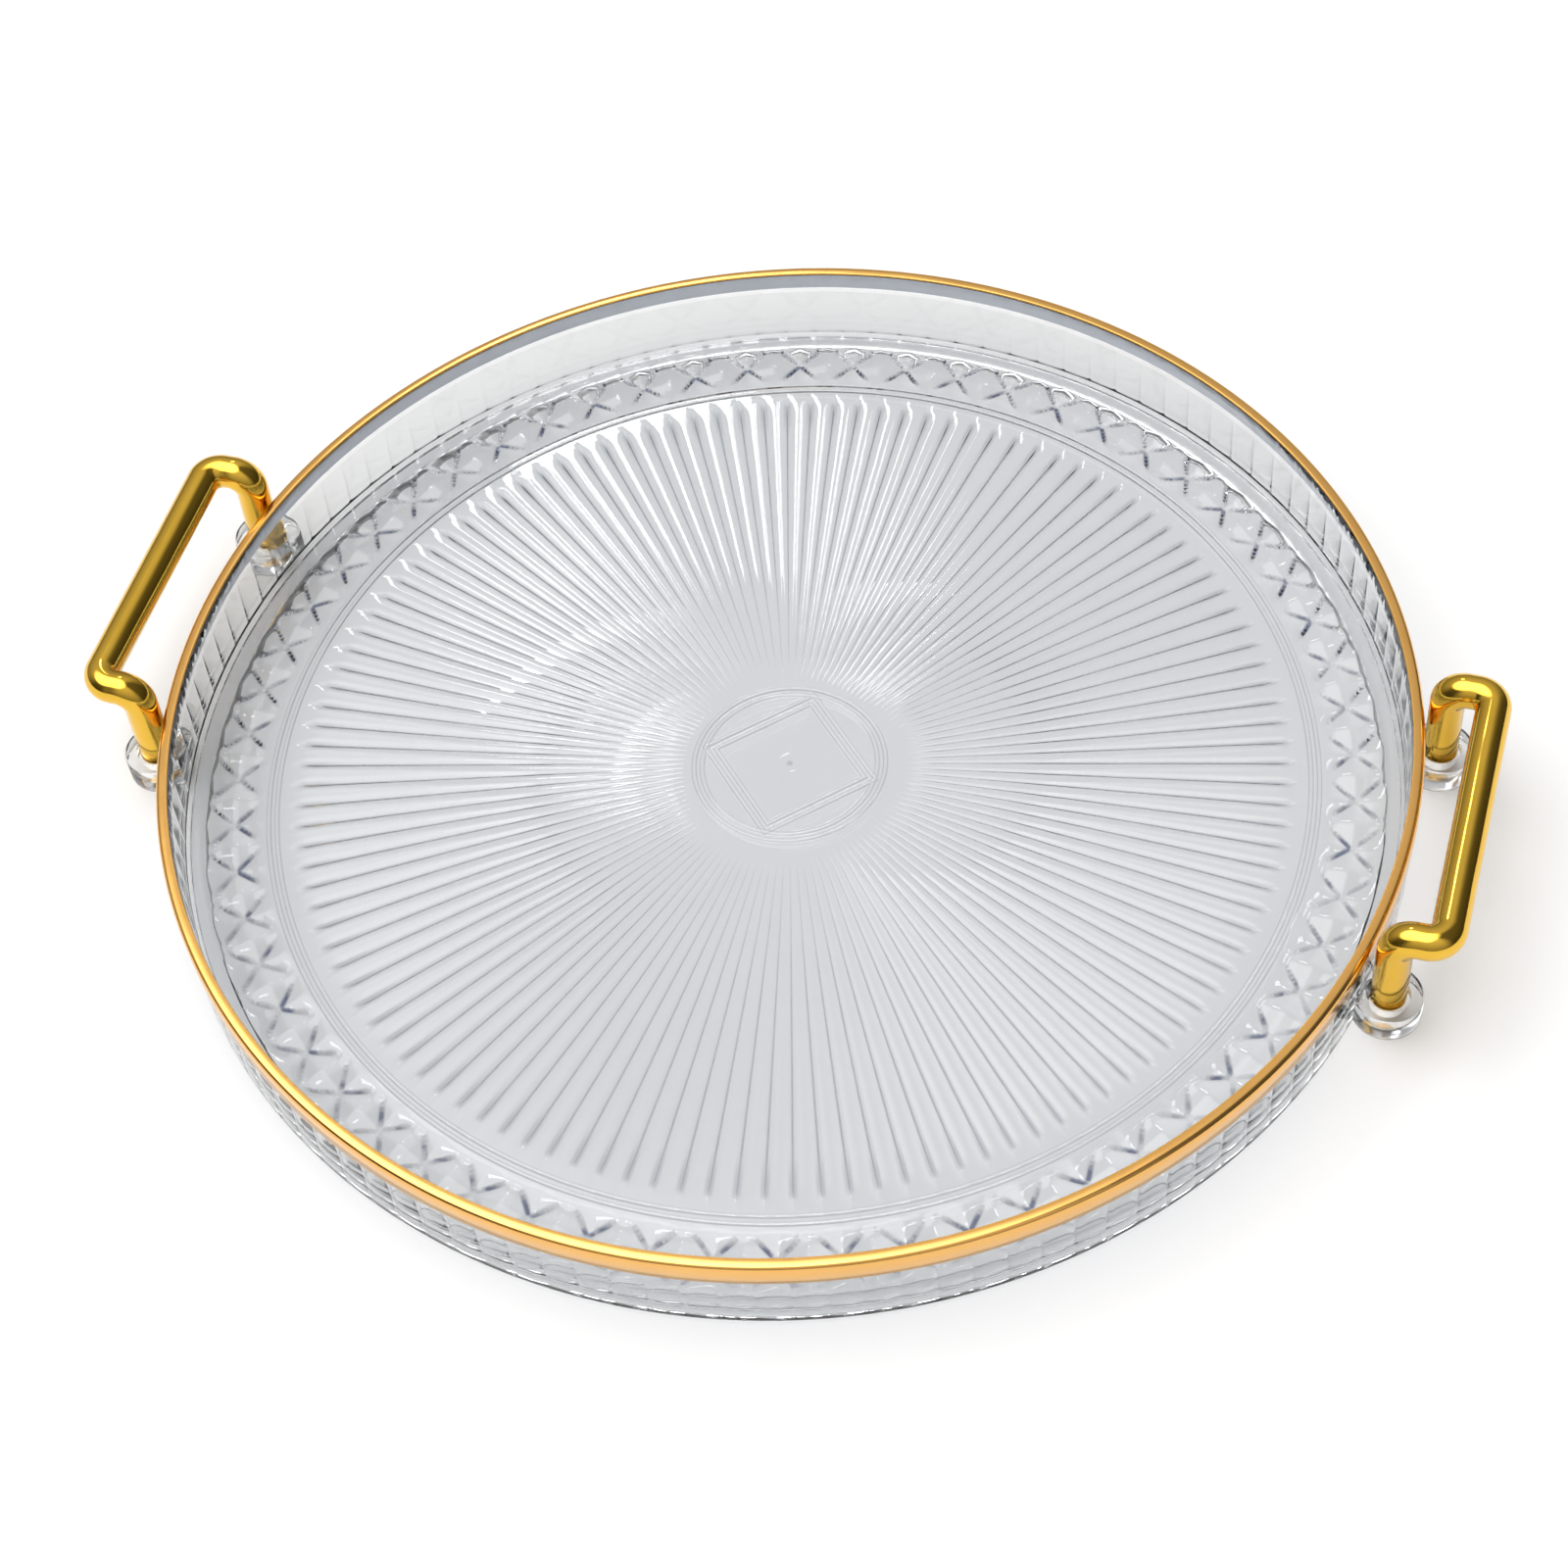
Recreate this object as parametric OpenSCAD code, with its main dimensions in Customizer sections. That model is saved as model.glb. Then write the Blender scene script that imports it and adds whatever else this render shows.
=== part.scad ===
// Round clear vanity tray with a gold lip and two gold bar handles.
// Origin: centre of the foot ring, on the surface that the tray stands on.
// +Z is up, and +X runs through the middle of the right handle.

/* [Dish] */
// Outside diameter over the gold lip
tray_d = 300; // [250:1:350]
// Height from the foot ring to the top of the lip
tray_h = 26; // [22:0.5:34]
// Thickness of the upright wall, without the gold lip
wall_t = 2.3; // [1.8:0.1:3.5]
// Thickness of the floor
floor_t = 2.6; // [2:0.1:4]
// Radius of the fillet between the floor and the wall
floor_fillet = 1.5; // [0.5:0.1:3]

/* [Foot] */
// Height of the foot ring under the floor
foot_h = 1.8; // [1.2:0.1:3]
// Width of the foot ring
foot_w = 4; // [3:0.1:6]

/* [Raised lines on the floor] */
// Radius of the double ring between the flutes and the diamonds
border_r = 126.1; // [110:0.1:135]
// Radius of the double ring around the middle
medallion_r = 22.3; // [18:0.1:40]
// Distance from the centre to each double side of the square in the middle
square_r = 14.3; // [8:0.1:14.5]
// Width of each raised line
line_w = 1; // [0.6:0.1:1.4]
// Height of each raised line
line_h = 0.3; // [0.2:0.1:0.6]
// Distance between the two lines of a double line
line_pitch = 2; // [1.6:0.1:3]

/* [Gold lip] */
// Thickness of the gold lip
lip_t = 0.5; // [0.3:0.1:1]
// Height of the lip's skirt down the outside of the wall
lip_h = 6.3; // [4:0.1:9]
// Radius of the lip's top outer corner
lip_round = 1.2; // [0.8:0.1:2]

/* [Handles] */
// Diameter of the round bar
bar_d = 8.2; // [6:0.1:9]
// Distance between the two posts of a handle
post_spacing = 71.8; // [56:0.1:90]
// Clearance between a post and the lip
post_clear = 1.1; // [0.6:0.1:4]
// How far the grip stands out beyond its posts
grip_reach = 10.7; // [9.6:0.1:30]
// Height of the grip's axis above the lip
grip_rise = 6.9; // [2:0.1:30]
// Radius of the bends, on the bar's axis
bend_r = 4.6; // [4.5:0.1:4.8]
// Chamfer on the lower end of each post
post_chamfer = 0.6; // [0.2:0.1:1]

/* [Sockets] */
// Outside diameter of a socket
socket_d = 16; // [13:0.1:20]
// Height of a socket
socket_h = 7.4; // [5:0.1:10]
// Height of the socket's underside above the table
socket_z = 3.2; // [1:0.1:6]
// Thickness of the socket's own floor
socket_floor = 1.4; // [1:0.1:2]
// Radial clearance around a post in its socket
fit_gap = 0.05; // [0.02:0.01:0.1]
// Chamfer at the socket's mouth
mouth_chamfer = 0.9; // [0.4:0.1:1.5]

/* [Hidden] */

$fn = 128;
overlap = 0.2;                               // how far joined shapes run into each other
lip_r = tray_d / 2;                          // outside radius of the gold lip
wall_out_r = lip_r - lip_t;                  // outside radius of the clear wall
wall_in_r = wall_out_r - wall_t;             // inside radius of the clear wall
wall_top = tray_h - lip_t;                   // top of the clear wall, under the lip
floor_top = foot_h + floor_t;                // surface that bottles stand on
foot_out_r = wall_in_r - 0.2;                // outside radius of the foot ring
foot_chamfer = 0.6;                          // chamfer along the foot's two edges
square_drop = 0.05;                          // how far the square's top lies below the rings' top

bar_r = bar_d / 2;
bore_r = bar_r + fit_gap;
post_y = post_spacing / 2;
// the posts' centres lie on a circle that clears the lip
post_x = sqrt(pow(lip_r + post_clear + bar_r, 2) - pow(post_y, 2));
grip_x = post_x + grip_reach;
grip_z = tray_h + grip_rise;
post_bottom = socket_z + socket_floor;

// ---- the dish -------------------------------------------------------------------

// Section of everything inside outline radius r_out and below z_top, with a round top corner
module round_shoulder(r_out, z_top, corner) {
    square([r_out - corner, z_top]);
    square([r_out, z_top - corner]);
    translate([r_out - corner, z_top - corner]) circle(r = corner);
}

// Section of the wall and floor, without the foot
module shell_section() {
    difference() {
        round_shoulder(wall_out_r, wall_top, lip_round - lip_t);
        square([wall_out_r, foot_h]);
        translate([0, floor_top + floor_fillet]) square([wall_in_r, tray_h]);
        translate([0, floor_top]) square([wall_in_r - floor_fillet, tray_h]);
        translate([wall_in_r - floor_fillet, floor_top + floor_fillet]) circle(r = floor_fillet);
    }
}

// Section of the foot ring, flat underneath
module foot_section() {
    polygon([[foot_out_r - foot_w, foot_h + overlap],
             [foot_out_r - foot_w, foot_chamfer],
             [foot_out_r - foot_w + foot_chamfer, 0],
             [foot_out_r - foot_chamfer, 0],
             [foot_out_r, foot_chamfer],
             [foot_out_r, foot_h + overlap]]);
}

// One raised ring on the floor
module raised_ring(r) {
    rotate_extrude() translate([r - line_w / 2, floor_top - overlap]) square([line_w, line_h + overlap]);
}

// One raised square on the floor, with its corners on +X, +Y, -X and -Y.
// Its corners end under the inner of the two rings around the middle.
module raised_square(r) {
    intersection() {
        rotate([0, 0, 45]) translate([0, 0, floor_top - overlap])
            linear_extrude(line_h - square_drop + overlap) difference() {
                square(2 * r + line_w, center = true);
                square(2 * r - line_w, center = true);
            }
        cylinder(r = medallion_r - line_pitch / 2, h = tray_h);
    }
}

module tray_dish() {
    color([0.80, 0.84, 0.87, 0.55]) union() {
        rotate_extrude() {
            shell_section();
            foot_section();
        }
        for (side = [-1, 1] * line_pitch / 2) {
            raised_ring(border_r + side);
            raised_ring(medallion_r + side);
            raised_square(square_r + side);
        }
    }
}

// Thin gold skin over the top of the wall and part of the way down its outside
module gold_lip() {
    color([0.86, 0.62, 0.24]) rotate_extrude() difference() {
        round_shoulder(lip_r, tray_h, lip_round);
        round_shoulder(wall_out_r, wall_top, lip_round - lip_t);
        square([lip_r, tray_h - lip_h]);
        square([wall_in_r, tray_h]);
    }
}

// ---- the handles ----------------------------------------------------------------

// A quarter bend of the bar. It starts at the origin along +Z and turns towards +X.
module quarter_bend() {
    translate([bend_r, 0, 0]) rotate([90, 0, 0]) rotate([0, 0, 90])
        rotate_extrude(angle = 90) translate([bend_r, 0]) circle(r = bar_r, $fn = 48);
}

// A straight length of the bar along +Z
module straight_bar(length) {
    cylinder(r = bar_r, h = length);
}

// One side of a handle: post, bend, leg, bend and half of the grip
module half_handle() {
    post_length = grip_z - bend_r - post_bottom;
    leg_length = grip_reach - 2 * bend_r;
    translate([post_x, post_y, post_bottom]) {
        cylinder(r1 = bar_r - post_chamfer, r2 = bar_r, h = post_chamfer);
        translate([0, 0, post_chamfer]) straight_bar(post_length - post_chamfer);
        translate([0, 0, post_length]) {
            quarter_bend();
            translate([bend_r, 0, bend_r]) rotate([0, 90, 0]) straight_bar(leg_length);
        }
    }
    translate([grip_x - bend_r, post_y, grip_z]) rotate([0, 90, 0]) rotate([0, 0, -90]) quarter_bend();
    translate([grip_x, 0, grip_z]) rotate([-90, 0, 0]) straight_bar(post_y - bend_r);
}

module handle() {
    color([0.90, 0.68, 0.20]) union() {
        half_handle();
        mirror([0, 1, 0]) half_handle();
    }
}

module handle_right() { handle(); }
module handle_left() { mirror([1, 0, 0]) handle(); }

// ---- the sockets ----------------------------------------------------------------

// Round cup that a post stands in, cut to lie against the outside of the wall.
// side is 1 on the right and -1 on the left, and end is 1 at the rear and -1 at the front.
module socket(side, end) {
    socket_top = socket_z + socket_h;
    color([0.74, 0.80, 0.85, 0.6]) difference() {
        translate([side * post_x, end * post_y, socket_z]) cylinder(d = socket_d, h = socket_h);
        translate([side * post_x, end * post_y, post_bottom]) cylinder(r = bore_r, h = socket_h);
        translate([side * post_x, end * post_y, socket_top - mouth_chamfer])
            cylinder(r1 = bore_r, r2 = bore_r + mouth_chamfer, h = mouth_chamfer);
        cylinder(r = wall_out_r, h = tray_h);
    }
}

module socket_left_front() { socket(-1, -1); }
module socket_left_rear() { socket(-1, 1); }
module socket_right_front() { socket(1, -1); }
module socket_right_rear() { socket(1, 1); }

tray_dish();
gold_lip();
handle_left();
handle_right();
socket_left_front();
socket_left_rear();
socket_right_front();
socket_right_rear();
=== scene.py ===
"""A round clear vanity tray with a gold lip and two gold bar handles.

The CAD frame gives each part's place and size. This script cuts the moulding's fine relief, rounds the
edges, finishes every surface, and shows the tray in a plain pale studio.
"""

import math

import bpy
import numpy as np
from mathutils import Matrix, Vector


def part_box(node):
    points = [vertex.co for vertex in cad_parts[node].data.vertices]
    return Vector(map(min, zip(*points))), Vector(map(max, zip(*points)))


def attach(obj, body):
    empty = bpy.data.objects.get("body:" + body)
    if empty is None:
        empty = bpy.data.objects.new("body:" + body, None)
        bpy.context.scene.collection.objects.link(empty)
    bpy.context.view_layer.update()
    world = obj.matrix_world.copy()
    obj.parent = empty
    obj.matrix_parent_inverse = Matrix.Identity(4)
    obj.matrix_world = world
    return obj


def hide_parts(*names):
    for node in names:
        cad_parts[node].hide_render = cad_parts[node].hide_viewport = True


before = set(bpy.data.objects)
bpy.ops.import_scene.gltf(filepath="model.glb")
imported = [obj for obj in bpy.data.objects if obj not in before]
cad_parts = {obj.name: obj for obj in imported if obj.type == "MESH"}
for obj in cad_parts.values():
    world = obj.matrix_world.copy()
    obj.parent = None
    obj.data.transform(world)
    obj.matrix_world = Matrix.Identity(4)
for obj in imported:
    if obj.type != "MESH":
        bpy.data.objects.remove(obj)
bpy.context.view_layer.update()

MM = 0.001
FULL_TURN = 2 * math.pi

# ---- sizes taken from the frame ----------------------------------------------------

dish_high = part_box("tray_dish")[1]
lip_low, lip_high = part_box("gold_lip")
bar_low, bar_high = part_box("handle_right")
cup_low, cup_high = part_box("socket_right_rear")

TRAY_HEIGHT = lip_high.z
LIP_RADIUS = lip_high.y
LIP_BOTTOM = lip_low.z
LIP_THICKNESS = lip_high.z - dish_high.z
WALL_OUTSIDE = LIP_RADIUS - LIP_THICKNESS

# ---- the camera --------------------------------------------------------------------

CAMERA_AZIMUTH = math.radians(21.16)
CAMERA_ELEVATION = math.radians(52.57)
CAMERA_ROLL = math.radians(-6.2)
CAMERA_DISTANCE = 739.8 * MM
CAMERA_LENS = 72.92
AIM_POINT = Vector((6.4 * MM, -21.8 * MM, TRAY_HEIGHT))

towards_camera = Vector((math.sin(CAMERA_AZIMUTH) * math.cos(CAMERA_ELEVATION),
                         -math.cos(CAMERA_AZIMUTH) * math.cos(CAMERA_ELEVATION),
                         math.sin(CAMERA_ELEVATION)))
CAMERA_SPOT = AIM_POINT + towards_camera * CAMERA_DISTANCE


def add_camera():
    """Looks down on the tray from its front right."""
    level_right = Vector((math.cos(CAMERA_AZIMUTH), math.sin(CAMERA_AZIMUTH), 0))
    level_up = towards_camera.cross(level_right)
    right = level_right * math.cos(CAMERA_ROLL) + level_up * math.sin(CAMERA_ROLL)
    up = level_up * math.cos(CAMERA_ROLL) - level_right * math.sin(CAMERA_ROLL)
    data = bpy.data.cameras.new("camera")
    data.lens = CAMERA_LENS
    camera = bpy.data.objects.new("camera", data)
    turned = Matrix((right, up, towards_camera)).transposed().to_4x4()
    camera.matrix_world = Matrix.Translation(CAMERA_SPOT) @ turned
    bpy.context.scene.collection.objects.link(camera)
    bpy.context.scene.camera = camera


add_camera()

# ---- finishes ----------------------------------------------------------------------


class Value:
    """A number carried by shader nodes, so that shader maths reads as plain expressions."""

    def __init__(self, finish, socket):
        self.finish = finish
        self.socket = socket

    def maths(self, operation, first, second):
        return self.finish.node("ShaderNodeMath", {"operation": operation}, {0: first, 1: second})

    def __add__(self, other):
        return self.maths("ADD", self, other)

    def __radd__(self, other):
        return self.maths("ADD", other, self)

    def __sub__(self, other):
        return self.maths("SUBTRACT", self, other)

    def __rsub__(self, other):
        return self.maths("SUBTRACT", other, self)

    def __mul__(self, other):
        return self.maths("MULTIPLY", self, other)

    def __rmul__(self, other):
        return self.maths("MULTIPLY", other, self)

    def __truediv__(self, other):
        return self.maths("DIVIDE", self, other)

    def __rtruediv__(self, other):
        return self.maths("DIVIDE", other, self)

    def __pow__(self, other):
        return self.maths("POWER", self, other)

    def __rpow__(self, other):
        return self.maths("POWER", other, self)

    def __abs__(self):
        return self.maths("ABSOLUTE", self, 0.0)

    def greater(self, other):
        """The greater of two values."""
        return self.maths("MAXIMUM", self, other)

    def to_and_fro(self, period):
        """Runs evenly from 0 up to 1 and back down to 0, once in each period."""
        return 2 * self.maths("PINGPONG", self / period, 0.5)

    def between(self, low, high):
        """Rises softly from 0 at low to 1 at high, and falls where low is the greater."""
        return self.finish.node("ShaderNodeMapRange", {"interpolation_type": "SMOOTHSTEP"},
                                {0: self, 1: low, 2: high, 3: 0.0, 4: 1.0})


class Finish:
    """The node tree of one material, or of the world."""

    def __init__(self, owner):
        self.owner = owner
        owner.use_nodes = True
        self.tree = owner.node_tree
        self.tree.nodes.clear()

    def node(self, kind, settings=None, inputs=None, output=0):
        """Adds a node, sets it up, feeds its sockets, and gives back one of its outputs."""
        made = self.tree.nodes.new(kind)
        for name, setting in (settings or {}).items():
            setattr(made, name, setting)
        for name, given in (inputs or {}).items():
            if isinstance(given, Value):
                self.tree.links.new(given.socket, made.inputs[name])
            else:
                made.inputs[name].default_value = given
        if not made.outputs:
            return None
        return Value(self, made.outputs[output])

    def place(self):
        """The point of the surface in the tray's own frame, in metres."""
        return self.node("ShaderNodeTexCoord", output="Object")

    def split_place(self):
        """The x, y and z of that point."""
        place = self.place()
        return [self.node("ShaderNodeSeparateXYZ", inputs={0: place}, output=axis) for axis in range(3)]

    def noise(self, scale, detail=2.0):
        """Soft noise from 0 to 1, with scale in waves per metre."""
        return self.node("ShaderNodeTexNoise",
                         inputs={"Vector": self.place(), "Scale": scale, "Detail": detail})

    def blend(self, share, first, second):
        """Colour between two colours."""
        ends = [end if isinstance(end, Value) else (*end, 1) for end in (first, second)]
        return self.node("ShaderNodeMix", {"data_type": "RGBA"},
                         {0: share, 6: ends[0], 7: ends[1]}, output=2)

    def bump(self, height, depth):
        """A normal that follows height, where a height of 1 stands for depth in metres."""
        return self.node("ShaderNodeBump", inputs={"Height": height, "Distance": depth, "Strength": 1.0})

    def along(self, direction, axis):
        """How far a direction points along an axis."""
        return self.node("ShaderNodeVectorMath", {"operation": "DOT_PRODUCT"},
                         {0: direction, 1: axis}, output=1)

    def show(self, shader):
        """Ends the tree in a surface, and gives back the material."""
        self.node("ShaderNodeOutputMaterial", inputs={"Surface": shader})
        return self.owner


def clear_plastic(name, light_tint, deep_tint, least_rough, most_rough, lamp_tint, creases=None):
    """Clear moulded plastic: faint flow waves, uneven polish and a cool tint.

    Light falls through it with lamp_tint, so that its shadow is a pale one. The function creases says
    where the dish's creases run, and they get painted shade, darker and bluer. The dish also gets painted
    light: it is tinted lighter where the lip backs it.
    """
    finish = Finish(bpy.data.materials.new(name))
    flow = finish.noise(22, detail=2)
    grain = finish.noise(900, detail=3)
    tint = finish.blend(flow, light_tint, deep_tint)
    if creases:
        # painted shade: the creases are tinted darker and bluer
        tint = finish.blend(creases(finish), tint, PAINTED_SHADE_TINT)
        # painted light: the wall is tinted lighter from just below the lip's lower edge upwards
        height = finish.split_place()[2]
        tint = finish.blend(height.between(LIP_BOTTOM - 0.5 * MM, LIP_BOTTOM), tint, PAINTED_LIGHT_TINT)
    shader = finish.node("ShaderNodeBsdfPrincipled", inputs={
        "Base Color": tint,
        "Roughness": least_rough + (most_rough - least_rough) * grain,
        "IOR": 1.5,
        "Transmission Weight": 1.0,
        "Normal": finish.bump(flow + grain * 0.05, 0.03 * MM),
    })
    lamp_light = finish.node("ShaderNodeBsdfTransparent", inputs={"Color": (*lamp_tint, 1)})
    for path in ("Is Shadow Ray", "Is Diffuse Ray"):
        is_light = finish.node("ShaderNodeLightPath", output=path)
        shader = finish.node("ShaderNodeMixShader", inputs={0: is_light, 1: shader, 2: lamp_light})
    return finish.show(shader)


def polished_metal(name, bright, deep, least_rough, most_rough, wave_depth, metallic=1.0):
    """Plated metal: slow waves in the mirror, fine rubbing marks and a slightly uneven tone."""
    finish = Finish(bpy.data.materials.new(name))
    waves = finish.noise(55, detail=1)
    rubbed = finish.noise(650, detail=4)
    shader = finish.node("ShaderNodeBsdfPrincipled", inputs={
        "Base Color": finish.blend(finish.noise(90, detail=3), bright, deep),
        "Metallic": metallic,
        "Roughness": least_rough + (most_rough - least_rough) * rubbed,
        "Normal": finish.bump(waves + rubbed * 0.01, wave_depth),
    })
    return finish.show(shader)


# ---- building surfaces -------------------------------------------------------------

SHARP_ANGLE = math.radians(40)


class Skin:
    """A surface built up ring by ring about the Z axis, from the middle outwards."""

    def __init__(self):
        self.points = []
        self.faces = []
        self.smooth = []
        self.finishes = []
        self.first = None
        self.last = None

    def add_points(self, points):
        start = len(self.points)
        self.points.extend(map(tuple, points))
        return np.arange(start, len(self.points))

    def ring(self, radius, height, angles, flat=False, finish=0):
        """Adds a ring and joins it to the one before it."""
        radius = np.broadcast_to(radius, angles.shape)
        height = np.broadcast_to(height, angles.shape)
        ring = self.add_points(np.stack([radius * np.cos(angles), radius * np.sin(angles), height], 1))
        self.join(ring, flat, finish)

    def tip(self, height):
        """Adds a single point on the axis and joins it to the ring before it."""
        self.join(self.add_points([(0, 0, height)]), False, 0)

    def join(self, ring, flat=False, finish=0):
        """Joins a ring to the one before it. The first one has nothing to join."""
        if self.last is None:
            self.first = ring
        else:
            faces = between_rings(self.last, ring, np.array(self.points) if flat else None)
            self.faces.extend(faces)
            self.smooth.extend([not flat] * len(faces))
            self.finishes.extend([finish] * len(faces))
        self.last = ring

    def close(self, finish=0):
        """Joins the last ring to the first one."""
        self.join(self.first, finish=finish)

    def piece(self, name, finishes):
        """Makes the object, with a hard edge wherever two faces turn by more than SHARP_ANGLE."""
        mesh = bpy.data.meshes.new(name)
        mesh.from_pydata(self.points, [], [tuple(int(i) for i in face) for face in self.faces])
        mesh.polygons.foreach_set("use_smooth", self.smooth)
        mesh.polygons.foreach_set("material_index", self.finishes)
        mesh.set_sharp_from_angle(angle=SHARP_ANGLE)
        for finish in finishes:
            mesh.materials.append(finish)
        piece = bpy.data.objects.new(name, mesh)
        bpy.context.scene.collection.objects.link(piece)
        return piece


def between_rings(inner, outer, points=None):
    """Faces between two rings, whose counts are equal, or one twice the other, or one a single point.

    Given the points, quads are split along the diagonal that folds them least.
    """
    if len(inner) == 1:
        return [(inner[0], a, b) for a, b in zip(outer, np.roll(outer, -1))]
    if len(outer) == 1:
        return [(a, outer[0], b) for a, b in zip(inner, np.roll(inner, -1))]
    if len(outer) == 2 * len(inner):
        a, b = inner, np.roll(inner, -1)
        c, d, e = outer[::2], outer[1::2], np.roll(outer[::2], -1)
        return [*zip(a, c, d), *zip(a, d, b), *zip(b, d, e)]
    if len(inner) == 2 * len(outer):
        a, b = outer, np.roll(outer, -1)
        c, d, e = inner[::2], inner[1::2], np.roll(inner[::2], -1)
        return [*zip(a, d, c), *zip(a, b, d), *zip(b, e, d)]
    a, b = inner, outer
    c, d = np.roll(outer, -1), np.roll(inner, -1)
    if points is None:
        return [*zip(a, b, c, d)]
    return split_quads(a, b, c, d, points)


def split_quads(a, b, c, d, points):
    """Two triangles for each quad, split so that a straight crease or ridge stays straight."""
    height = points[:, 2]
    crease = np.abs(height[a] - height[c]) < np.abs(height[b] - height[d])
    faces = []
    for folded, w, x, y, z in zip(crease, a, b, c, d):
        faces += [(w, x, y), (w, y, z)] if folded else [(x, y, z), (x, z, w)]
    return faces


# ---- the dish ----------------------------------------------------------------------

WALL_THICKNESS = 2.3 * MM
FLOOR_THICKNESS = 2.6 * MM
FOOT_HEIGHT = 1.8 * MM
FOOT_WIDTH = 4.0 * MM
FOOT_INSET = 0.2 * MM
FLOOR_TOP = FOOT_HEIGHT + FLOOR_THICKNESS
WALL_INSIDE = WALL_OUTSIDE - WALL_THICKNESS
FILLET = 1.5 * MM
SEAM_GAP = 0.05 * MM                    # air between the clear wall and the back of the lip

FLUTES = 120
STEPS_PER_FLUTE = 8
FLUTE_DEPTH = 1.0 * MM                  # at the flutes' full end
FLUTE_START = 28 * MM
FLUTE_GROWN = 35 * MM                   # where the fading flutes reach their full slope
FLUTE_FULL_END = 117.5 * MM
FLUTE_TIP = 122 * MM
FLUTE_SQUARENESS = 2.1                  # 2 is a half round, and more is flatter on top

DIAMONDS = 60
DIAMOND_INSIDE = 128 * MM
DIAMOND_OUTSIDE = 143 * MM
DIAMOND_DEPTH = 1.35 * MM
DIAMOND_FADE = 0.5                      # share of half the band in which the cuts run out
GROOVE_DEPTH = 0.5 * MM                 # the extra nick along the diamonds' edges

LINE_WIDTH = 1.2 * MM
LINE_RISE = 0.42 * MM
LINE_PITCH = 2.0 * MM
LINE_STEPS = (-1.08, -1, -0.67, -0.33, 0, 0.33, 0.67, 1, 1.08)   # rings across a line, in half widths
BORDER_RADIUS = 126.1 * MM
MEDALLION_RADIUS = 22.3 * MM
SQUARE_RADIUS = 14.3 * MM

NUB_WIDTH = 1.6 * MM                    # the mould mark in the middle is a nub in a faint ring
NUB_RISE = 0.03 * MM
MARK_RADIUS = 2.7 * MM
MARK_WIDTH = 0.8 * MM
MARK_RISE = 0.02 * MM

WALL_EDGE = 0.3 * MM                    # round inner edge of the wall's top
WALL_CORNER = 0.7 * MM                  # round outer edge of the wall's top, under the lip
WALL_FOOT_EDGE = 0.5 * MM               # round outer edge of the wall's bottom

RIB_DEPTH = 0.2 * MM
RIB_TOP = LIP_BOTTOM - 1.0 * MM         # the ribs fade in from here down, and out again above the foot
RIB_FULL_TOP = RIB_TOP - 1.4 * MM
RIB_FULL_BOTTOM = FOOT_HEIGHT + 2.4 * MM
RIB_BOTTOM = FOOT_HEIGHT + 0.6 * MM

# Angles of a ring's points: evenly spaced, crowded towards the creases between flutes, or half as many.
FLUTE_PITCH = FULL_TURN / FLUTES
even_steps = np.arange(FLUTES * STEPS_PER_FLUTE) / STEPS_PER_FLUTE - 0.5
EVEN = even_steps * FLUTE_PITCH
crowding = np.sin((np.arange(STEPS_PER_FLUTE) / STEPS_PER_FLUTE - 0.5) * math.pi) / 2
CROWDED = ((np.arange(FLUTES)[:, None] + crowding[None, :]) * FLUTE_PITCH).ravel()
COARSE = EVEN[::2]


def pulse(distance, width):
    """A round bump that is 1 at no distance and 0 from half the width on."""
    return np.clip(1 - (2 * distance / width) ** 2, 0, None)


def fluting(angle):
    """0 on the crest of a flute and 1 in the crease between two."""
    across = 2 * np.abs((angle / FLUTE_PITCH + 0.5) % 1 - 0.5)
    return 1 - np.clip(1 - across ** FLUTE_SQUARENESS, 0, 1) ** (1 / FLUTE_SQUARENESS)


def flute_cut(radius, angle):
    """Shallower towards the middle, and run out at both ends."""
    grown = np.clip((radius - FLUTE_START) / (FLUTE_GROWN - FLUTE_START), 0, 1)
    tip = np.clip((FLUTE_TIP - radius) / (FLUTE_TIP - FLUTE_FULL_END), 0, 1)
    return FLUTE_DEPTH * radius / FLUTE_FULL_END * grown * tip * fluting(angle)


def diamond_cut(radius, angle):
    """Full diamonds around the middle of the band, half diamonds along its two edges."""
    half_band = (DIAMOND_OUTSIDE - DIAMOND_INSIDE) / 2
    along = 2 * np.abs((angle * DIAMONDS / FULL_TURN + 0.5) % 1 - 0.5)
    across = np.abs(radius - DIAMOND_INSIDE - half_band) / half_band
    crest = np.abs(1 - along - across)
    nick = np.clip(1 - crest * STEPS_PER_FLUTE, 0, 1) * np.sin(math.pi * np.clip(across, 0, 1)) ** 0.5
    fade = np.clip((1 - across) / DIAMOND_FADE, 0, 1)
    return (DIAMOND_DEPTH * (1 - crest) + GROOVE_DEPTH * nick) * fade


def line_rise(radius, angle):
    """The double lines: a ring outside the flutes, and a ring and a square in the middle."""
    turned = angle - math.pi / 4
    square = np.maximum(np.abs(radius * np.cos(turned)), np.abs(radius * np.sin(turned)))
    rise = 0
    for side in (-LINE_PITCH / 2, LINE_PITCH / 2):
        for distance in (radius - BORDER_RADIUS, radius - MEDALLION_RADIUS, square - SQUARE_RADIUS):
            rise = np.maximum(rise, pulse(distance - side, LINE_WIDTH))
    return LINE_RISE * rise


def gate_mark(radius):
    """How high the small mould mark stands."""
    return NUB_RISE * pulse(radius, NUB_WIDTH) + MARK_RISE * pulse(radius - MARK_RADIUS, MARK_WIDTH)


def quarter_turn(centre_radius, centre_height, radius, start, end, steps):
    """Points (radius, height) along an arc of the dish's section, without its first point."""
    for step in range(1, steps + 1):
        angle = math.radians(start + (end - start) * step / steps)
        yield centre_radius + radius * math.cos(angle), centre_height + radius * math.sin(angle)


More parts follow.
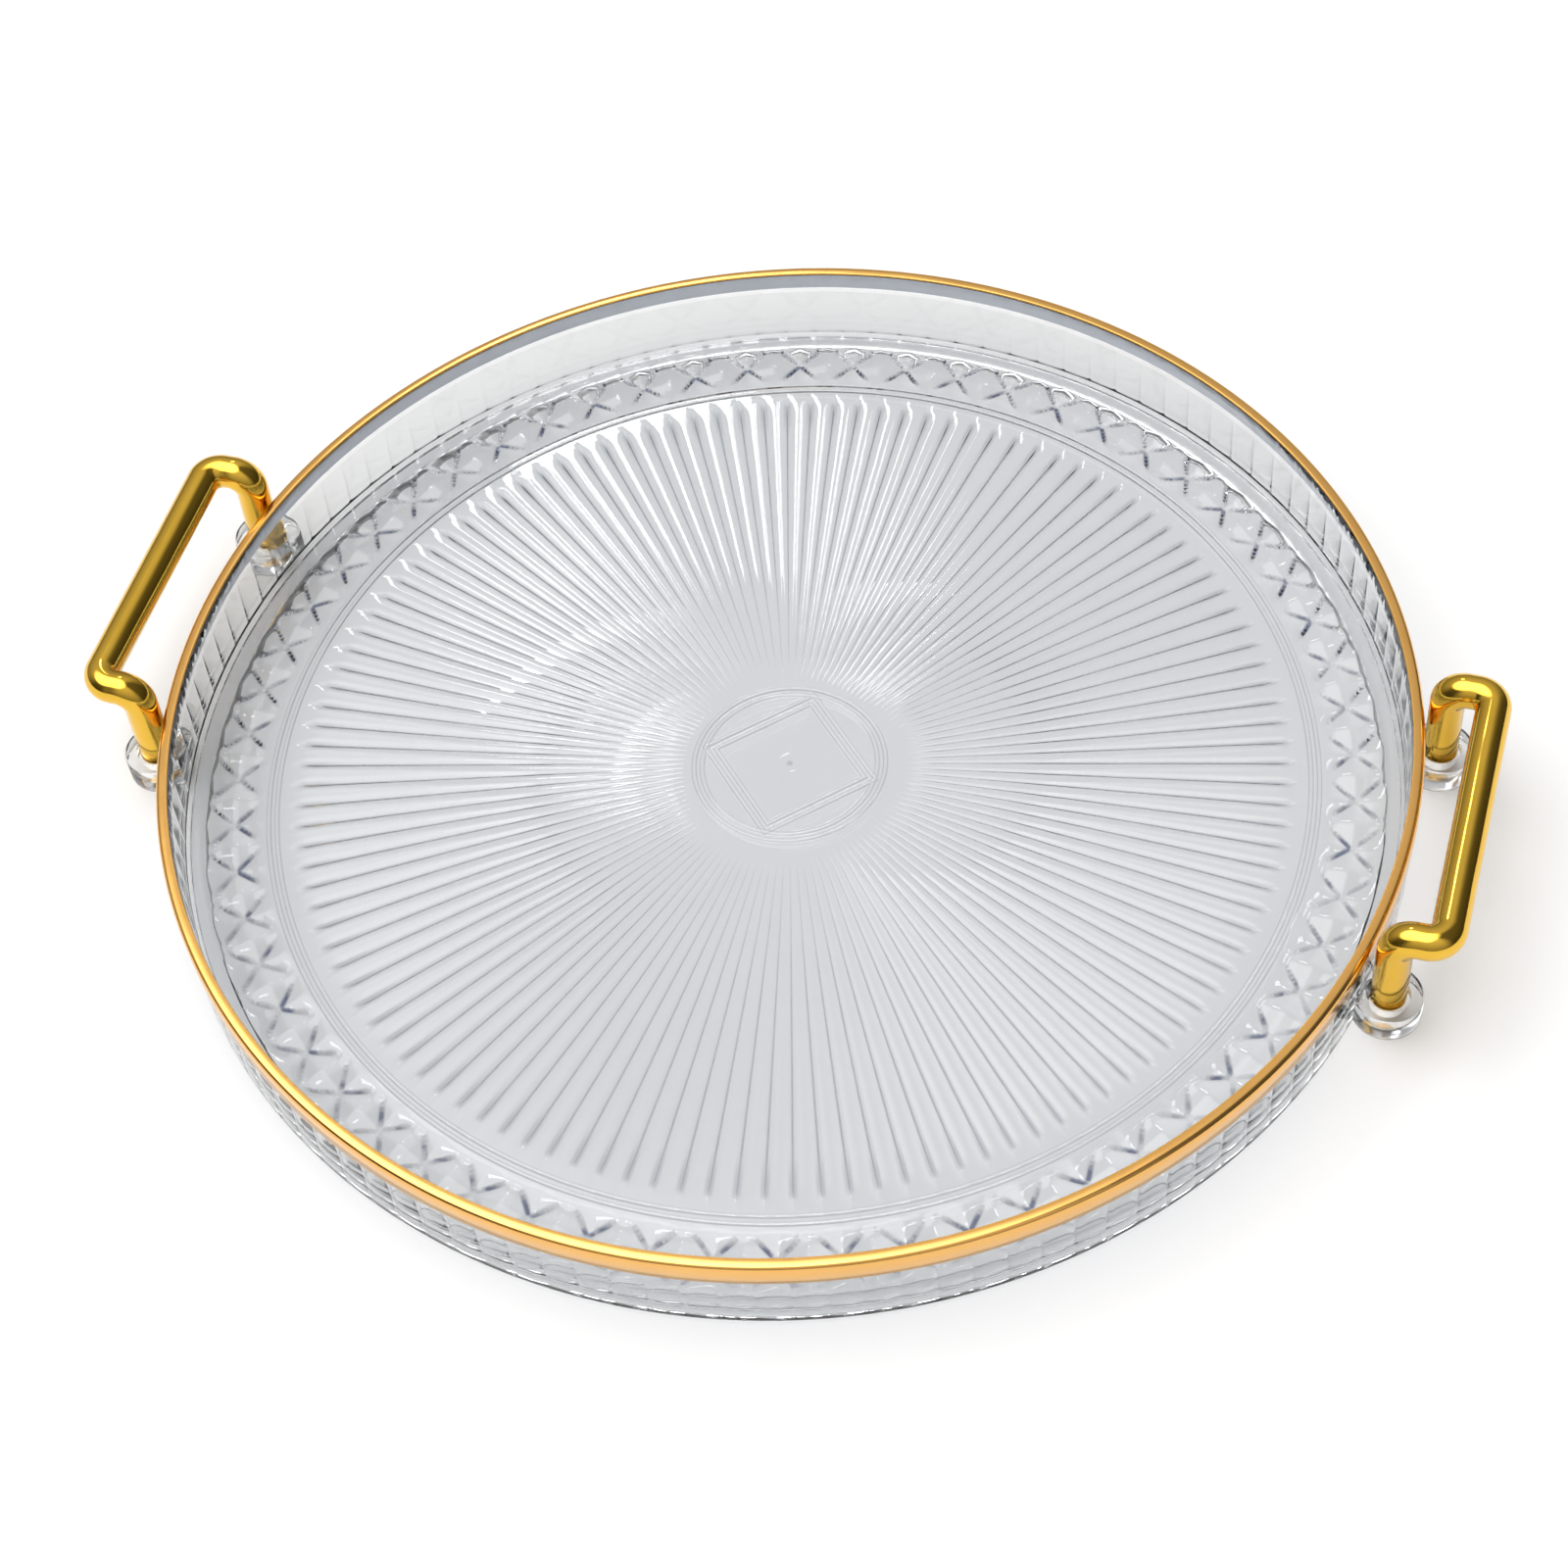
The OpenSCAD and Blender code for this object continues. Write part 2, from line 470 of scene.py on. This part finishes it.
def medallion_rings():
    """Radii in the middle, close together on the mould mark and where the double lines run."""
    nub = [0.4, 0.8, 1.2]
    mark = [2.3, 2.5, 2.7, 2.9, 3.1]
    plain = [7.0, 12.0]
    fine_start, fine_end, fine_step = 12.4, 24.3, 0.27
    fine = np.arange(fine_start, fine_end, fine_step)
    return np.concatenate([nub, mark, plain, fine]) * MM


def add_dish():
    """One skin: the floor from its middle outwards, the wall, and back in along the underside."""
    skin = Skin()

    def floor(radius, angles, cut=0.0, flat=False):
        skin.ring(radius, FLOOR_TOP + line_rise(radius, angles) - cut, angles, flat)

    skin.tip(FLOOR_TOP + gate_mark(0.0))
    for radius in medallion_rings():
        skin.ring(radius, FLOOR_TOP + gate_mark(radius) + line_rise(radius, COARSE), COARSE)
    fading = np.linspace(FLUTE_START, FLUTE_GROWN, 5)
    tips = np.linspace(FLUTE_FULL_END, FLUTE_TIP, 4)
    for radius in (*fading, 60 * MM, 80 * MM, 100 * MM, *tips):
        floor(radius, CROWDED, flute_cut(radius, CROWDED))
    for side in (-1, 1):
        for share in LINE_STEPS:
            floor(BORDER_RADIUS + (side * LINE_PITCH + share * LINE_WIDTH) / 2, EVEN)
    for radius in np.linspace(DIAMOND_INSIDE, DIAMOND_OUTSIDE, 2 * STEPS_PER_FLUTE + 1):
        floor(radius, EVEN, diamond_cut(radius, EVEN), flat=True)
    skin.ring(DIAMOND_OUTSIDE + 0.2 * MM, FLOOR_TOP, EVEN)
    skin.ring(WALL_INSIDE - FILLET, FLOOR_TOP, COARSE)
    for radius, height in quarter_turn(WALL_INSIDE - FILLET, FLOOR_TOP + FILLET, FILLET, -90, 0, 6):
        skin.ring(radius, height, COARSE)
    add_wall(skin)
    add_underside(skin)
    return skin.piece("clear_dish", [CLEAR])


def add_wall(skin):
    """The wall's inside, its top edge under the lip, and its ribbed outside."""
    top = TRAY_HEIGHT - LIP_THICKNESS - SEAM_GAP
    outside = WALL_OUTSIDE - SEAM_GAP
    edge = WALL_EDGE
    corner = WALL_CORNER
    foot_edge = WALL_FOOT_EDGE
    skin.ring(WALL_INSIDE, LIP_BOTTOM, COARSE)
    skin.ring(WALL_INSIDE, top - edge, COARSE)
    for radius, height in quarter_turn(WALL_INSIDE + edge, top - edge, edge, 180, 90, 3):
        skin.ring(radius, height, COARSE)
    skin.ring(outside - corner, top, CROWDED)
    for radius, height in quarter_turn(outside - corner, top - corner, corner, 90, 0, 6):
        skin.ring(radius, height, CROWDED)
    skin.ring(outside, RIB_TOP, CROWDED)
    ribbed = outside - RIB_DEPTH * fluting(CROWDED)
    skin.ring(ribbed, RIB_FULL_TOP, CROWDED)
    skin.ring(ribbed, RIB_FULL_BOTTOM, CROWDED)
    skin.ring(outside, RIB_BOTTOM, CROWDED)
    for radius, height in quarter_turn(outside - foot_edge, FOOT_HEIGHT + foot_edge, foot_edge, 0, -90, 4):
        skin.ring(radius, height, CROWDED)


def add_underside(skin):
    """The foot ring and the smooth bottom."""
    foot_outside = WALL_INSIDE - FOOT_INSET
    foot_inside = foot_outside - FOOT_WIDTH
    edge = 0.6 * MM
    skin.ring(foot_outside, FOOT_HEIGHT, COARSE)
    for radius, height in quarter_turn(foot_outside - edge, edge, edge, 0, -90, 4):
        skin.ring(radius, height, COARSE)
    for radius, height in quarter_turn(foot_inside + edge, edge, edge, -90, -180, 4):
        skin.ring(radius, height, COARSE)
    skin.ring(foot_inside, FOOT_HEIGHT, COARSE)
    for radius in (100 * MM, 50 * MM, 10 * MM):
        skin.ring(radius, FOOT_HEIGHT, COARSE)
    skin.tip(FOOT_HEIGHT)


# ---- the gold lip ------------------------------------------------------------------


def add_lip():
    """A thin gold skin over the top of the wall. Its back, seen through the wall, is silver."""
    skin = Skin()
    corner = 1.2 * MM
    edge = 0.2 * MM
    back = LIP_RADIUS - LIP_THICKNESS
    back_top = TRAY_HEIGHT - LIP_THICKNESS
    skin.ring(WALL_INSIDE, back_top, COARSE)
    for radius, height in quarter_turn(WALL_INSIDE + edge, TRAY_HEIGHT - edge, edge, 180, 90, 4):
        skin.ring(radius, height, COARSE)
    for radius, height in quarter_turn(LIP_RADIUS - corner, TRAY_HEIGHT - corner, corner, 90, 0, 10):
        skin.ring(radius, height, COARSE)
    for radius, height in quarter_turn(LIP_RADIUS - edge, LIP_BOTTOM + edge, edge, 0, -90, 4):
        skin.ring(radius, height, COARSE)
    skin.ring(back, LIP_BOTTOM, COARSE)
    for radius, height in quarter_turn(back - WALL_CORNER, back_top - WALL_CORNER, WALL_CORNER, 0, 90, 6):
        skin.ring(radius, height, COARSE, finish=1)
    skin.close(finish=1)
    return skin.piece("gold_lip_skin", [LIP_GOLD, FOIL_BACK])


# ---- the handles -------------------------------------------------------------------

BAR_RADIUS = 4.1 * MM
BEND_RADIUS = 4.6 * MM
BEND_SWELL = 0.12 * MM
BEND_STEPS = 14
BAR_STEPS = 56
POST_CHAMFER = 0.6 * MM
POST_BOTTOM = bar_low.z
GRIP_HEIGHT = bar_high.z - BAR_RADIUS
GRIP_X = bar_high.x - BAR_RADIUS
POST_X = bar_low.x + BAR_RADIUS
POST_Y = bar_high.y - BAR_RADIUS


def bar_route():
    """Points along the bar's axis with how far into a bend each one is, from 0 to 1."""
    corners = [Vector((POST_X, POST_Y, POST_BOTTOM)), Vector((POST_X, POST_Y, GRIP_HEIGHT)),
               Vector((GRIP_X, POST_Y, GRIP_HEIGHT)), Vector((GRIP_X, -POST_Y, GRIP_HEIGHT)),
               Vector((POST_X, -POST_Y, GRIP_HEIGHT)), Vector((POST_X, -POST_Y, POST_BOTTOM))]
    up = Vector((0, 0, POST_CHAMFER))
    route = [(corners[0], 0), (corners[0] + up, 0)]
    for before, corner, after in zip(corners, corners[1:], corners[2:]):
        back = (before - corner).normalized()
        on = (after - corner).normalized()
        centre = corner + (back + on) * BEND_RADIUS
        for step in range(BEND_STEPS + 1):
            share = step / BEND_STEPS
            turn = share * math.pi / 2
            point = centre - (on * math.cos(turn) + back * math.sin(turn)) * BEND_RADIUS
            route.append((point, math.sin(share * math.pi)))
    return route + [(corners[-1] + up, 0), (corners[-1], 0)]


def add_handle(name, side):
    """A round bar swept along its route. side is 1 on the right and -1 on the left."""
    skin = Skin()
    route = bar_route()
    points = [point for point, _ in route]
    sideways = Vector((1, 0, 0))
    for index, (point, bent) in enumerate(route):
        ahead = points[min(index + 1, len(points) - 1)] - points[max(index - 1, 0)]
        ahead.normalize()
        sideways = (sideways - ahead * sideways.dot(ahead)).normalized()
        across = ahead.cross(sideways)
        is_end = index in (0, len(points) - 1)
        radius = BAR_RADIUS - POST_CHAMFER if is_end else BAR_RADIUS + BEND_SWELL * bent
        ring = []
        for step in range(BAR_STEPS):
            turn = FULL_TURN * step / BAR_STEPS
            spot = point + (sideways * math.cos(turn) + across * math.sin(turn)) * radius
            ring.append((spot.x * side, spot.y, spot.z))
        if index == 0:
            skin.join(skin.add_points([(point.x * side, point.y, point.z)]))
        skin.join(skin.add_points(ring))
    last = points[-1]
    skin.join(skin.add_points([(last.x * side, last.y, last.z)]))
    if side > 0:
        skin.faces = [face[::-1] for face in skin.faces]
    return skin.piece(name, [BAR_GOLD])


# ---- the sockets -------------------------------------------------------------------

CUP_RADIUS = (cup_high.y - cup_low.y) / 2
BORE_RADIUS = BAR_RADIUS + 0.05 * MM
CUP_FLOOR = 1.4 * MM
CUP_EDGE = 0.5 * MM
MOUTH_CHAMFER = 0.9 * MM
CUP_GAP = 0.02 * MM                     # air between a cup and the wall, and under its post
CUP_STEPS = 96


def add_cup(name, side, end):
    """A clear cup around a post, trimmed to the outside of the wall."""
    skin = Skin()
    angles = np.arange(CUP_STEPS) / CUP_STEPS * FULL_TURN
    bottom, top = cup_low.z, cup_high.z
    bore_floor = bottom + CUP_FLOOR - CUP_GAP
    skin.tip(bottom)
    skin.ring(2.0 * MM, bottom, angles)
    for radius, height in quarter_turn(CUP_RADIUS - CUP_EDGE, bottom + CUP_EDGE, CUP_EDGE, -90, 0, 5):
        skin.ring(radius, height, angles)
    for radius, height in quarter_turn(CUP_RADIUS - CUP_EDGE, top - CUP_EDGE, CUP_EDGE, 0, 90, 5):
        skin.ring(radius, height, angles)
    skin.ring(BORE_RADIUS + MOUTH_CHAMFER, top, angles)
    skin.ring(BORE_RADIUS, top - MOUTH_CHAMFER, angles)
    skin.ring(BORE_RADIUS, bore_floor, angles)
    skin.tip(bore_floor)
    skin.faces = [face[::-1] for face in skin.faces]
    cup = skin.piece(name, [CUP_CLEAR])
    cup.data.transform(Matrix.Translation((side * POST_X, end * POST_Y, 0)))
    trim_to_wall(cup)
    return cup


def trim_to_wall(cup):
    """Takes away the part of a cup that would run into the wall."""
    wall = Skin()
    below = -5 * MM
    wall.tip(below)
    wall.ring(WALL_OUTSIDE + CUP_GAP, below, EVEN)
    wall.ring(WALL_OUTSIDE + CUP_GAP, TRAY_HEIGHT, EVEN)
    wall.tip(TRAY_HEIGHT)
    wall.faces = [face[::-1] for face in wall.faces]
    cutter = wall.piece("wall_cutter", [CUP_CLEAR])
    trim = cup.modifiers.new("trim", "BOOLEAN")
    trim.object = cutter
    trim.operation = "DIFFERENCE"
    trim.solver = "EXACT"
    evaluated = cup.evaluated_get(bpy.context.evaluated_depsgraph_get())
    trimmed = bpy.data.meshes.new_from_object(evaluated)
    whole = cup.data
    cup.modifiers.clear()
    cup.data = trimmed
    bpy.data.meshes.remove(whole)
    bpy.data.objects.remove(cutter)


# ---- the tray's finishes -----------------------------------------------------------

# Painted shade: the creases of the floor's relief, the edges of its raised lines and the mould mark are
# tinted darker and bluer
PAINTED_SHADE_TINT = (0.024, 0.040, 0.115)
PAINTED_LIGHT_TINT = (0.97, 0.98, 0.99)        # painted light: the wall is tinted lighter where the silver back of the lip lies behind it
FLUTE_SHADE = 0.55
TIP_SHARE = 0.6                         # how dark the painted shade on the wide part of a flute's crease is, beside the rest
DIAMOND_SHADE = 0.95
LINE_SHADE = 0.34
MARK_SHADE = 0.4


def painted_crease_shade(finish):
    """How much painted shade the dish's creases, line edges and mould mark get, from 0 to 1. They are all
    on the floor's upper side.
    """
    x, y, z = finish.split_place()
    radius = (x * x + y * y) ** 0.5
    angle = y.maths("ARCTAN2", y, x)
    on_top = z.between(FOOT_HEIGHT + 0.2 * MM, FOOT_HEIGHT + 0.5 * MM)
    # painted shade: a small dark spot on the mould mark in the middle
    mark = MARK_SHADE * radius.between(1.0 * MM, 0.5 * MM)
    shade = FLUTE_SHADE * flute_crease_shade(radius, angle)
    shade = shade + DIAMOND_SHADE * diamond_crease_shade(finish, radius, angle)
    return on_top * (shade + LINE_SHADE * line_edge_shade(x, y, radius) + mark)


def flute_crease_shade(radius, angle):
    """Painted shade in the flutes' creases: thin along each flute, and wide and soft for the last few
    millimetres before its tip.
    """
    flute = angle.to_and_fro(FLUTE_PITCH)
    thin = flute.between(0.84, 1.0) * radius.between(FLUTE_START, 70 * MM)
    thin = thin * radius.between(FLUTE_TIP, FLUTE_FULL_END + 1 * MM)
    wide = flute.between(0.55, 0.85) * radius.between(FLUTE_TIP - 14 * MM, FLUTE_TIP - 5 * MM)
    wide = wide * radius.between(FLUTE_TIP - 0.5 * MM, FLUTE_TIP - 2.5 * MM)
    return thin.greater(TIP_SHARE * wide)


def diamond_crease_shade(finish, radius, angle):
    """Painted shade in broken strokes along the diamonds' edges, from their corners inwards and halfway
    along outside.
    """
    half_band = (DIAMOND_OUTSIDE - DIAMOND_INSIDE) / 2
    middle = DIAMOND_INSIDE + half_band
    along = angle.to_and_fro(FULL_TURN / DIAMONDS)
    across = abs(radius - middle) / half_band
    crest = abs(1 - along - across)
    outer = radius.between(middle - 0.4 * MM, middle + 0.4 * MM)
    outer_stroke = 0.7 * outer * (4 * across * (1 - across)).between(0.45, 1.0)
    inner_stroke = (1 - outer) * across.between(0.75, 0.35)
    broken = 0.25 + 0.75 * finish.noise(230, detail=1).between(0.36, 0.6)
    return crest.between(0.20, 0.05) * (outer_stroke + inner_stroke) * across.between(1.0, 0.99) * broken


def line_edge_shade(x, y, radius):
    """Painted shade along both edges of every raised line."""
    square = diagonal(x, y).greater(diagonal(y, -1 * x))
    edges = line_edges(radius - BORDER_RADIUS)
    for distance in (radius - MEDALLION_RADIUS, square - SQUARE_RADIUS):
        edges = edges.greater(line_edges(distance))
    return edges


def diagonal(x, y):
    """Distance from the centre along a direction halfway between x and y."""
    return abs(x + y) / 2 ** 0.5


def line_edges(distance):
    """1 along both edges of each line of a double line, whose middle is at no distance."""
    from_line = abs(abs(distance) - LINE_PITCH / 2)
    from_edge = abs(from_line - 0.42 * LINE_WIDTH)
    return from_edge.between(0.22 * MM, 0.05 * MM)


CLEAR = clear_plastic(
    "clear_plastic", light_tint=(0.80, 0.81, 0.815), deep_tint=(0.775, 0.787, 0.795),
    least_rough=0.0, most_rough=0.04, lamp_tint=(0.885, 0.89, 0.90), creases=painted_crease_shade)
CUP_CLEAR = clear_plastic(
    "clear_cup_plastic", light_tint=(0.96, 0.965, 0.97), deep_tint=(0.93, 0.94, 0.95),
    least_rough=0.06, most_rough=0.16, lamp_tint=(0.94, 0.945, 0.95))
BAR_GOLD = polished_metal(
    "bar_gold", bright=(0.88, 0.55, 0.075), deep=(0.80, 0.47, 0.05),
    least_rough=0.08, most_rough=0.14, wave_depth=0.35 * MM)
LIP_GOLD = polished_metal(
    "lip_gold", bright=(0.94, 0.53, 0.155), deep=(0.86, 0.46, 0.125),
    least_rough=0.15, most_rough=0.21, wave_depth=0.15 * MM)
FOIL_BACK = polished_metal(
    "foil_back", bright=(0.96, 0.98, 1.0), deep=(0.92, 0.95, 1.0),
    least_rough=0.25, most_rough=0.40, wave_depth=0.10 * MM, metallic=0.0)

# ---- putting the tray together -----------------------------------------------------

dish = add_dish()
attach(dish, "root")
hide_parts("tray_dish")

lip = add_lip()
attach(lip, "root")
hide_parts("gold_lip")

for side, side_name in ((-1, "left"), (1, "right")):
    handle = add_handle(f"gold_handle_{side_name}", side)
    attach(handle, "root")
    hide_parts(f"handle_{side_name}")
    for end, end_name in ((-1, "front"), (1, "rear")):
        cup = add_cup(f"clear_cup_{side_name}_{end_name}", side, end)
        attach(cup, "root")
        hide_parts(f"socket_{side_name}_{end_name}")

# ---- the studio --------------------------------------------------------------------

FLOOR_HALF = 3.0

OVERHEAD_LIGHT = 3.8
OVERHEAD_EDGE = (0.80, 0.93)            # cosines at the outside and the inside of its soft edge
LIGHT_LEAN = 0.33                       # how far it leans to the left
LIGHT_BEARING = (-0.94, -0.34)          # the level direction that it leans in
BEHIND_LIGHT = 1.0
BEHIND_EDGE = (0.5, 0.9)
FAR_WALL_TURN = math.radians(18)
FAR_WALL_EDGE = (0.1, 0.75)
ROOM_TOP = 0.88                         # where the room is brightest, if 1 is straight up
ROOM_TOP_LIGHT = 0.85
ROOM_FOOT_LIGHT = 0.25
ROOM_LIGHT = 0.2                        # how bright the rest of the room is, beside the far wall
BACKDROP_LIGHT = 0.9                    # the backdrop as the camera sees it
NEVER_ZERO = 0.0001                     # keeps a division safe straight overhead


def add_floor():
    """A plain pale floor."""
    finish = Finish(bpy.data.materials.new("studio_floor"))
    mottle = finish.blend(finish.noise(6, detail=2), (0.93, 0.93, 0.93), (0.95, 0.95, 0.95))
    floor_finish = finish.show(finish.node("ShaderNodeBsdfPrincipled", inputs={
        "Base Color": mottle, "Roughness": 0.9, "Specular IOR Level": 0.1}))
    mesh = bpy.data.meshes.new("studio_floor")
    mesh.from_pydata([(-FLOOR_HALF, -FLOOR_HALF, 0), (FLOOR_HALF, -FLOOR_HALF, 0),
                      (FLOOR_HALF, FLOOR_HALF, 0), (-FLOOR_HALF, FLOOR_HALF, 0)], [], [(0, 1, 2, 3)])
    mesh.materials.append(floor_finish)
    floor = bpy.data.objects.new("studio_floor", mesh)
    bpy.context.scene.collection.objects.link(floor)


def add_sky():
    """Studio light: a soft light overhead, a pale wall beyond the tray, and one behind the camera.

    The overhead light and the far wall sit a little to the left, and the room is dark on the right.
    """
    world = bpy.data.worlds.new("studio")
    bpy.context.scene.world = world
    sky = Finish(world)
    direction = sky.node("ShaderNodeTexCoord", output=0)
    up = sky.node("ShaderNodeSeparateXYZ", inputs={0: direction}, output=2)
    beyond = bearing_match(sky, direction, up, CAMERA_AZIMUTH + FAR_WALL_TURN)
    behind = bearing_match(sky, direction, up, CAMERA_AZIMUTH + math.pi)
    level = [LIGHT_LEAN * share for share in LIGHT_BEARING]
    toward_light = (*level, (1 - LIGHT_LEAN ** 2) ** 0.5)
    overhead = OVERHEAD_LIGHT * sky.along(direction, toward_light).between(*OVERHEAD_EDGE)
    wall = ROOM_LIGHT + (1 - ROOM_LIGHT) * beyond.between(*FAR_WALL_EDGE)
    wall = wall + BEHIND_LIGHT * behind.between(*BEHIND_EDGE)
    rising = sky.node("ShaderNodeMapRange",
                      inputs={0: up, 1: 0.0, 2: ROOM_TOP, 3: ROOM_FOOT_LIGHT, 4: ROOM_TOP_LIGHT})
    seen = sky.node("ShaderNodeLightPath", output=0)
    strength = overhead + wall * rising
    background = sky.node("ShaderNodeBackground", inputs={1: strength * (1 - seen) + seen * BACKDROP_LIGHT})
    sky.node("ShaderNodeOutputWorld", inputs={"Surface": background})


def bearing_match(sky, direction, up, azimuth):
    """How well a direction's compass bearing agrees with an azimuth: 1 where they are the same."""
    bearing = (-math.sin(azimuth), math.cos(azimuth), 0)
    return sky.along(direction, bearing) / (1 + NEVER_ZERO - up * up) ** 0.5


def add_glint_lamp(spot, distance, size, power):
    """A square lamp beyond the tray, placed so that the floor mirrors it to the camera at one spot."""
    data = bpy.data.lights.new("glint_lamp", "AREA")
    data.shape = "SQUARE"
    data.size = size
    data.energy = power
    lamp = bpy.data.objects.new("glint_lamp", data)
    out = spot - CAMERA_SPOT
    out.z = -out.z
    out.normalize()
    turned = out.to_track_quat("Z", "Y").to_matrix().to_4x4()
    lamp.matrix_world = Matrix.Translation(spot + out * distance) @ turned
    bpy.context.scene.collection.objects.link(lamp)


add_floor()
add_sky()
add_glint_lamp(Vector((-66 * MM, 86 * MM, FLOOR_TOP)), distance=3.0, size=0.30, power=2.6)

bpy.context.scene.view_settings.view_transform = "Standard"
